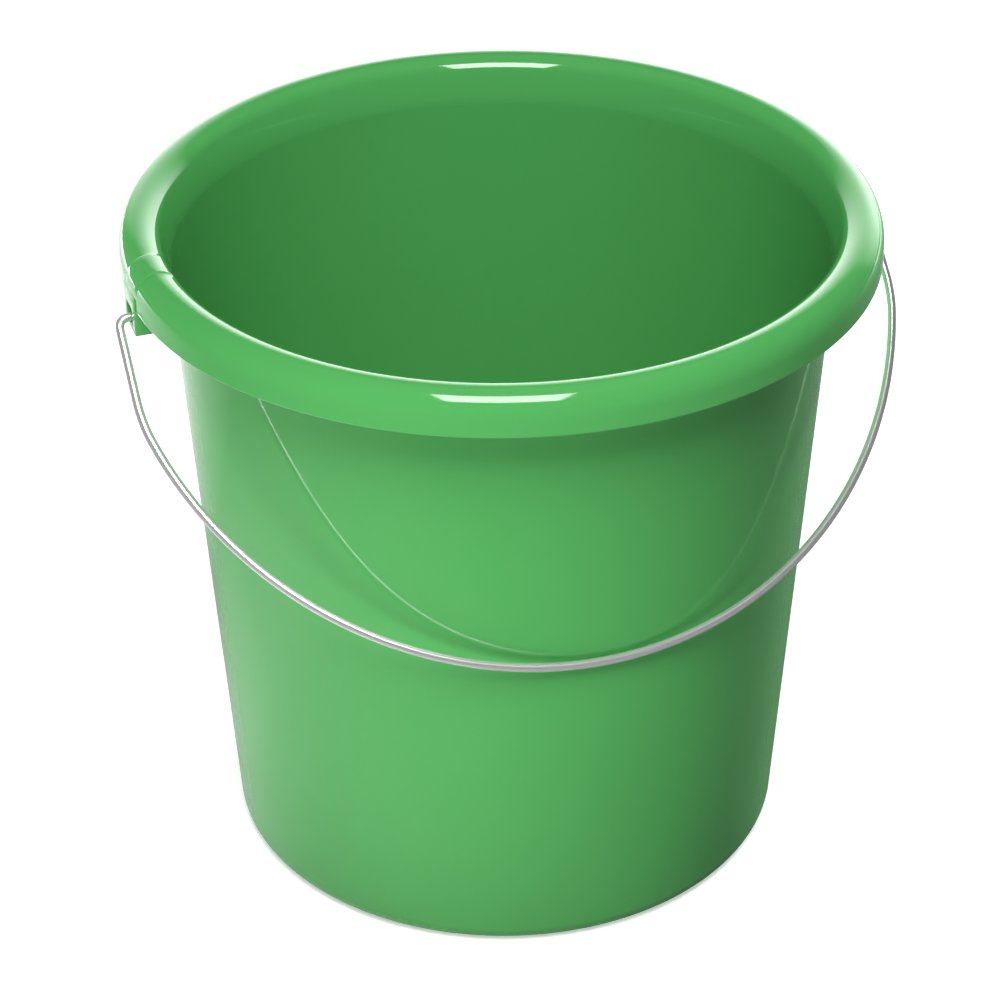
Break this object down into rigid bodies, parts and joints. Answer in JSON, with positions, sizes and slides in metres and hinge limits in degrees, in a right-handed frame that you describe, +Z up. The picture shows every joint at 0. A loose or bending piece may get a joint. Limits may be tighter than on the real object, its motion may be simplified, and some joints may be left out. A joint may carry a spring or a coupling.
{
  "type": "florist bucket",
  "caption": "Tapered round plastic bucket with a turned-over rim, slotted ears under the rim and a swinging bent-wire bail, for holding cut flowers in water.",
  "frame": {"origin": "middle of the foot ring, on the surface the bucket stands on", "axes": "+X through the pivot ears, +Z up; the bail rests on the -Y side"},
  "size_m": [0.2954, 0.282, 0.2623],
  "materials": {
    "green_plastic": "glossy moulded polypropylene, mid green through its thickness",
    "bright_wire": "bright zinc-plated drawn steel wire"
  },
  "bodies": {
    "bucket": {"bucket": "green_plastic"},
    "bail": {"bail": "bright_wire"}
  },
  "joints": [
    {"name": "bail_swing", "type": "hinge", "parent": "bucket", "child": "bail", "pos_m": [0, 0, 0.2404], "axis": [-1, 0, 0], "range_deg": [0, 263]}
  ]
}
